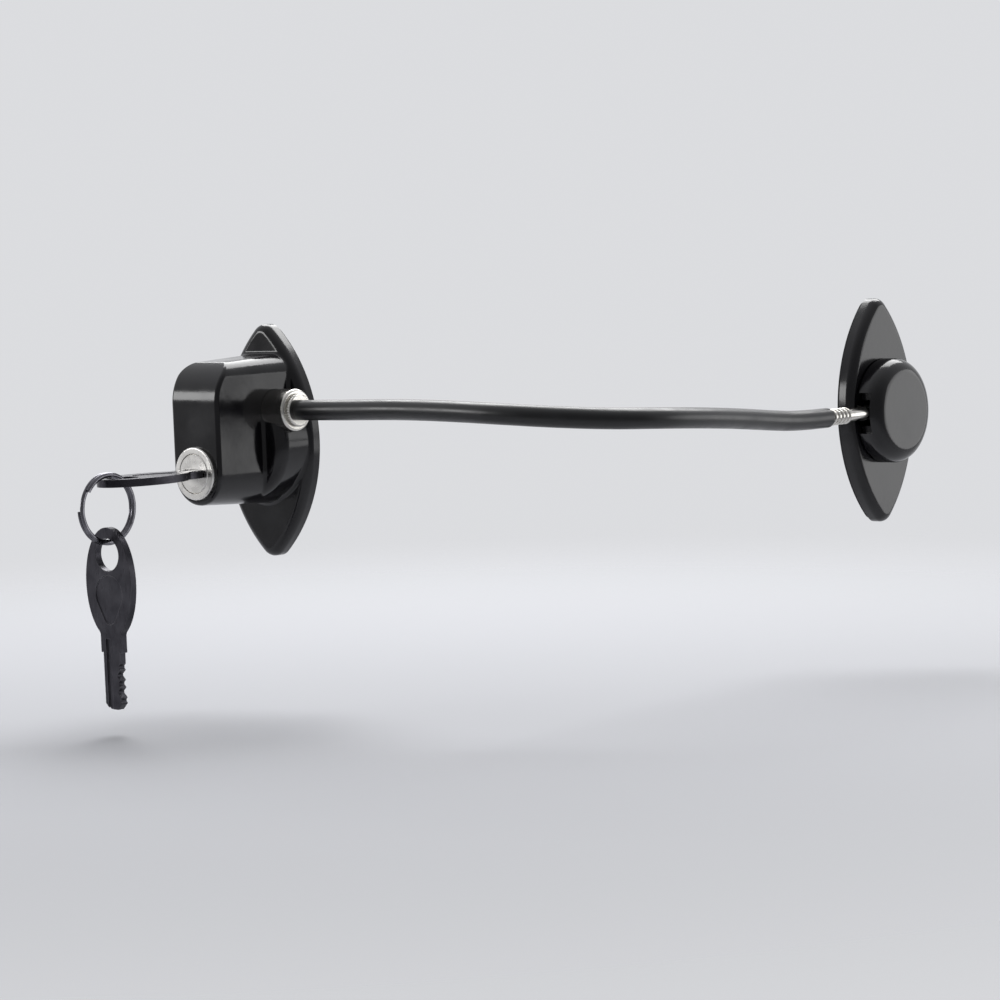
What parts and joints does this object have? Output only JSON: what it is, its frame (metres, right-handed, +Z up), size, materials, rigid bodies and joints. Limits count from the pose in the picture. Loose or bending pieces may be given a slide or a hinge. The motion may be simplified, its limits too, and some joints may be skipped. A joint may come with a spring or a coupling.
{
  "type": "cable lock",
  "caption": "Key-operated cable lock: a leaf-shaped stick-on case with a barrel key cylinder, a plug-in cable and a swivelling stick-on anchor.",
  "frame": {"origin": "middle of the lock plate's adhesive face, on the surface it is stuck to", "axes": "+X along the mounting surface towards the corner the cable goes round, +Y into the surface, +Z up; the lock stands out along -Y and the anchor along +X"},
  "size_m": [0.1266, 0.2025, 0.089],
  "materials": {
    "black_paint": "gloss",
    "nickel": "polished",
    "key_steel": "satin",
    "cover_black": "satin",
    "hidden_steel": "satin",
    "brass": "satin",
    "jacket": "gloss",
    "foam": "matt"
  },
  "bodies": {
    "lock_case": {"lock_base": "black_paint", "lock_back_cover": "cover_black", "cover_screws": "hidden_steel", "lock_adhesive_pad": "foam", "cylinder_shell": "nickel", "socket_sleeve": "nickel", "latch_spring": "hidden_steel"},
    "plug": {"key_plug": "nickel", "wafers": "brass", "plug_clip": "hidden_steel", "cam": "hidden_steel", "cam_screw": "hidden_steel"},
    "latch": {"latch_bolt": "hidden_steel"},
    "key": {"inserted_key": "key_steel"},
    "ring": {"key_ring": "nickel"},
    "spare": {"spare_key": "key_steel"},
    "cable_end": {"cable_plug": "nickel", "cable": "jacket", "ferrule": "nickel", "swivel_cap": "black_paint", "swivel_washer": "hidden_steel", "swivel_screw": "hidden_steel"},
    "anchor": {"anchor_base": "black_paint", "anchor_adhesive_pad": "foam"}
  },
  "joints": [
    {"name": "key_turn", "type": "hinge", "parent": "lock_case", "child": "plug", "pos_m": [0, -0.03, -0.0063], "axis": [0, 1, 0], "range_deg": [0, 90]},
    {"name": "latch_slide", "type": "slide", "parent": "lock_case", "child": "latch", "axis": [0, 0, 1], "range_m": [0, 0.0016], "deforming": ["latch_spring"]},
    {"name": "key_pull", "type": "slide", "parent": "plug", "child": "key", "axis": [0, -1, 0], "range_m": [0, 0.015]},
    {"name": "ring_swing", "type": "hinge", "parent": "key", "child": "ring", "pos_m": [0, -0.0588, -0.0043], "axis": [0, 1, 0], "range_deg": [-27, 27]},
    {"name": "spare_key_swing", "type": "hinge", "parent": "ring", "child": "spare", "pos_m": [0, -0.0588, -0.0203], "axis": [0, 1, 0], "range_deg": [-40, 40]},
    {"name": "cable_release", "type": "slide", "parent": "lock_case", "child": "cable_end", "axis": [1, 0, 0], "range_m": [0, 0.025]},
    {"name": "anchor_swivel", "type": "hinge", "parent": "cable_end", "child": "anchor", "pos_m": [0.097, 0.12, 0], "axis": [1, 0, 0], "continuous": true}
  ],
  "couplings": [
    {"joint": "latch_slide", "follows": "key_turn", "m_per_rad": 0.0010186}
  ]
}
